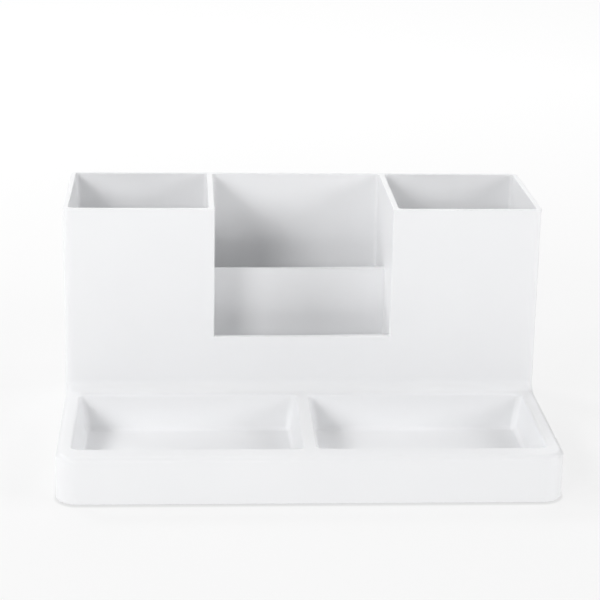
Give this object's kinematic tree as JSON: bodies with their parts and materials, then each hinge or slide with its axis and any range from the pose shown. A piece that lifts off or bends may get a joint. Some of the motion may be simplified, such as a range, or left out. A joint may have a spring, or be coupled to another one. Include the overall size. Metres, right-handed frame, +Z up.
{
  "type": "desk organizer",
  "caption": "Desk organizer: a low two-pocket tray in front of a caddy with pen cups at its sides and a stepped centre bay between them.",
  "frame": {"origin": "on the desk, under the middle of the outline", "axes": "+X to the right seen from the front, +Y to the back where the caddy stands, +Z up; the tray's front faces -Y"},
  "size_m": [0.216, 0.157, 0.107],
  "materials": {
    "moulded_plastic": "satin moulded plastic, cool white",
    "screw_steel": "zinc plated",
    "pad_rubber": "matte non-slip rubber"
  },
  "bodies": {
    "root": {"base_tray": "moulded_plastic", "caddy": "moulded_plastic", "caddy_screws": "screw_steel", "foot_pad_front_left": "pad_rubber", "foot_pad_front_right": "pad_rubber", "foot_pad_rear_left": "pad_rubber", "foot_pad_rear_right": "pad_rubber"}
  },
  "joints": []
}
